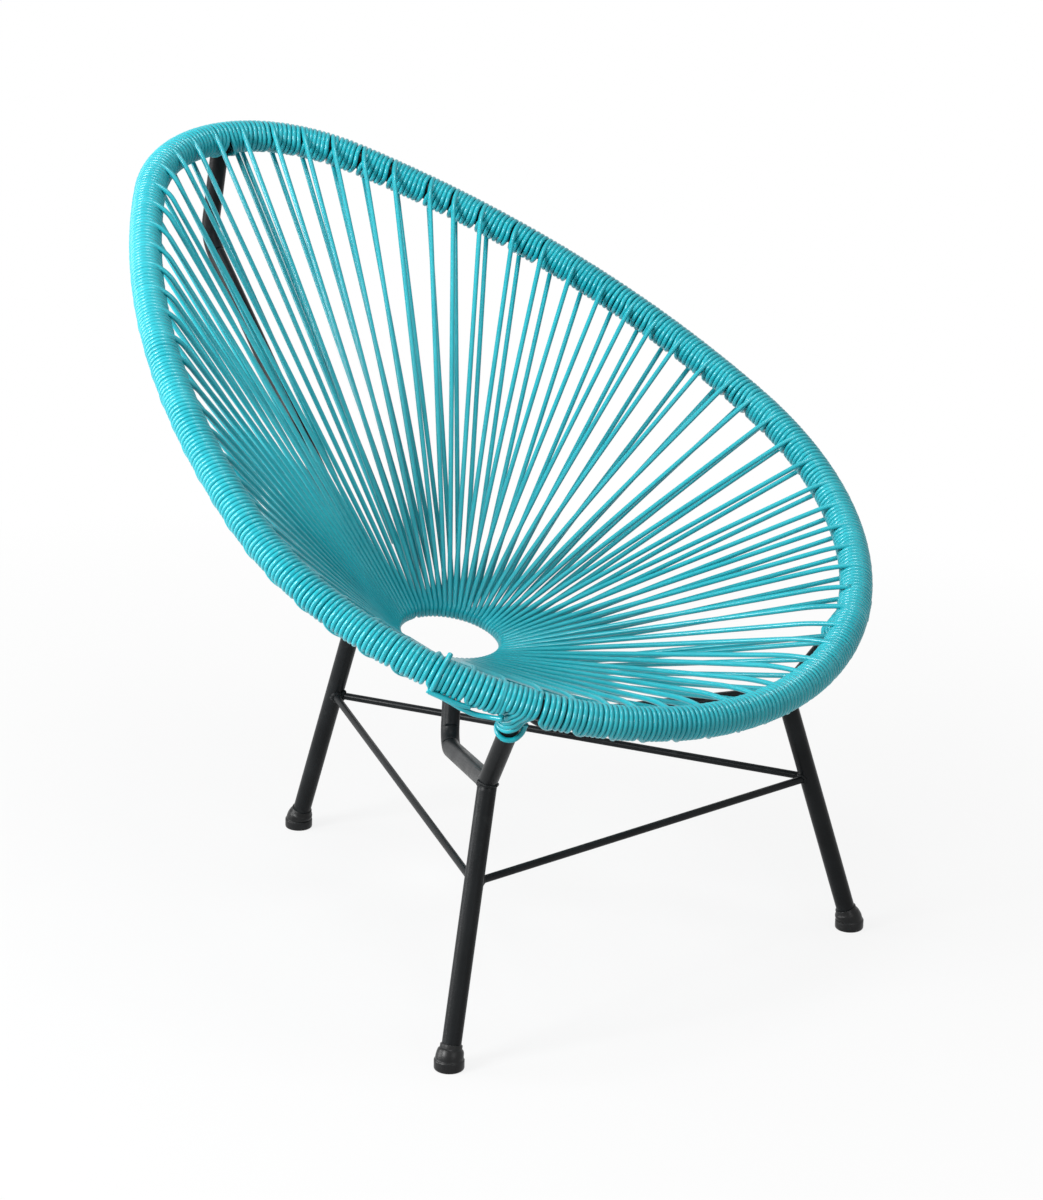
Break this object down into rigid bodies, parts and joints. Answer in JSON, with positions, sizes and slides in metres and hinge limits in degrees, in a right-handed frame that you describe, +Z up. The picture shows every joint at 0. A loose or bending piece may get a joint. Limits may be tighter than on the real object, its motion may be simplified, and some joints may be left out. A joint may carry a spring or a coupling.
{
  "type": "acapulco chair",
  "caption": "Low patio chair: a round-bellied seat of plastic cord laced from an egg-shaped hoop to a small ring, on three splayed tube legs.",
  "frame": {"origin": "on the floor, under the middle of the chair's box", "axes": "+Z up; -Y is the front, the way a sitter faces; +X is the sitter's left"},
  "size_m": [0.748, 0.9042, 0.7959],
  "materials": {
    "frame_paint": "black satin powder coat over welded steel tube, fine texture",
    "foot_plastic": "moulded black polyethylene foot cap, slightly dull",
    "seat_cord": "semi-gloss turquoise PVC cord, slightly uneven round section"
  },
  "bodies": {
    "root": {"rim_hoop": "frame_paint", "centre_ring": "frame_paint", "back_spine": "frame_paint", "front_tube_left": "frame_paint", "front_tube_right": "frame_paint", "leg_front_left": "frame_paint", "leg_front_right": "frame_paint", "leg_back": "frame_paint", "tie_rod_front": "frame_paint", "tie_rod_left": "frame_paint", "tie_rod_right": "frame_paint", "foot_cap_front_left": "foot_plastic", "foot_cap_front_right": "foot_plastic", "foot_cap_back": "foot_plastic", "rim_winding_left": "seat_cord", "rim_winding_right": "seat_cord", "rim_winding_front": "seat_cord", "arm_lashing_left": "seat_cord", "arm_lashing_right": "seat_cord", "cord_panel_left_1": "seat_cord", "cord_panel_left_2": "seat_cord", "cord_panel_left_3": "seat_cord", "cord_panel_left_4": "seat_cord", "cord_panel_left_5": "seat_cord", "cord_panel_left_6": "seat_cord", "cord_panel_left_7": "seat_cord", "cord_panel_right_1": "seat_cord", "cord_panel_right_2": "seat_cord", "cord_panel_right_3": "seat_cord", "cord_panel_right_4": "seat_cord", "cord_panel_right_5": "seat_cord", "cord_panel_right_6": "seat_cord", "cord_panel_right_7": "seat_cord", "cord_panel_front_1": "seat_cord", "cord_panel_front_2": "seat_cord", "cord_panel_front_3": "seat_cord"}
  },
  "joints": []
}
